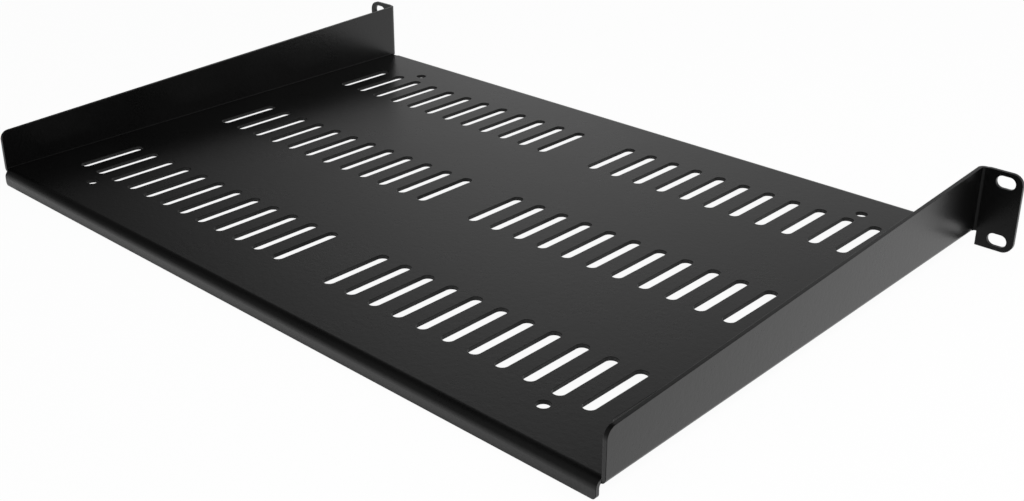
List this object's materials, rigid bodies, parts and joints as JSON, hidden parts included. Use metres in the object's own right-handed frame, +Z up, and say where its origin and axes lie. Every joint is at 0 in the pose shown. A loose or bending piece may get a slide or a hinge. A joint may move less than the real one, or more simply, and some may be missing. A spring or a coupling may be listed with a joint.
{
  "type": "cantilever rack shelf",
  "caption": "Vented cantilever shelf for a rack, folded from one steel sheet with tapered side walls and slotted ears.",
  "frame": {"origin": "middle of the four rack holes, on the plane of the ears' rear faces, which bear on the rack posts", "axes": "+X across the rack, +Y back into the rack towards the rear lip, +Z up"},
  "size_m": [0.4826, 0.304, 0.0435],
  "materials": {
    "shelf": "black powder coat, fine texture, low sheen"
  },
  "bodies": {
    "root": {"shelf": "shelf"}
  },
  "joints": []
}
